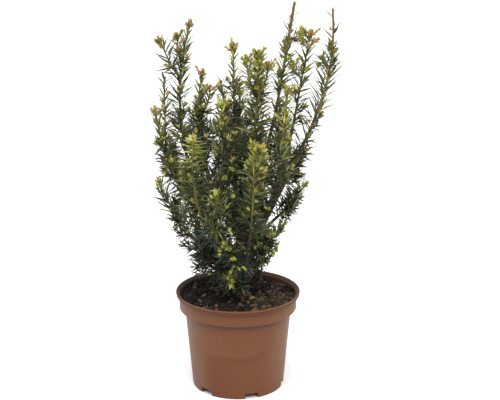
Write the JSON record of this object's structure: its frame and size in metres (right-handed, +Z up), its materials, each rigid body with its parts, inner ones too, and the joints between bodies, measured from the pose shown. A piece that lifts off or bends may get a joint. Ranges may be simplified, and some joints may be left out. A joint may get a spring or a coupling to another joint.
{
  "type": "potted english yew shrub",
  "caption": "Young english yew with upright, forking leafy leaders rising from one short trunk, rooted in a round tapered nursery pot with a rolled lip and a notched foot.",
  "frame": {"origin": "middle of the plant's box at floor level, on the plane of the pot's feet; the pot's axis stands a little left of it and in front of it, because the crown leans right and reaches back", "axes": "+Z up along the pot's axis, -Y towards the front that the picture shows, +X to the right of that view"},
  "size_m": [0.2899, 0.2256, 0.5865],
  "materials": {
    "pot_plastic": "satin terracotta-coloured plastic",
    "compost": "matt, moist and crumbly",
    "bark": "matt brown bark",
    "needles": "satin needles"
  },
  "bodies": {
    "root": {"foliage_back_core": "needles", "foliage_back_foot": "needles", "foliage_back_left": "needles", "foliage_back_low": "needles", "foliage_back_middle": "needles", "foliage_back_right": "needles", "foliage_centre": "needles", "foliage_front_core": "needles", "foliage_front_foot": "needles", "foliage_front_left": "needles", "foliage_front_low": "needles", "foliage_front_middle": "needles", "foliage_front_right": "needles", "foliage_left_back": "needles", "foliage_left_core": "needles", "foliage_left_foot": "needles", "foliage_left_inner": "needles", "foliage_left_low": "needles", "foliage_left_outer": "needles", "foliage_left_tall": "needles", "foliage_middle_back": "needles", "foliage_middle_core": "needles", "foliage_middle_front": "needles", "foliage_right_back": "needles", "foliage_right_centre": "needles", "foliage_right_foot": "needles", "foliage_right_inner": "needles", "foliage_right_low": "needles", "foliage_right_middle": "needles", "foliage_right_tall": "needles", "limb_back_left": "bark", "limb_back_low": "bark", "limb_back_middle": "bark", "limb_back_right": "bark", "limb_centre": "bark", "limb_front_left": "bark", "limb_front_middle": "bark", "limb_front_right": "bark", "limb_left_back": "bark", "limb_left_inner": "bark", "limb_left_low": "bark", "limb_left_outer": "bark", "limb_left_tall": "bark", "limb_middle_back": "bark", "limb_middle_front": "bark", "limb_right_back": "bark", "limb_right_centre": "bark", "limb_right_foot": "bark", "limb_right_inner": "bark", "limb_right_low": "bark", "limb_right_middle": "bark", "limb_right_tall": "bark", "pot": "pot_plastic", "soil": "compost", "trunk": "bark"}
  },
  "joints": []
}
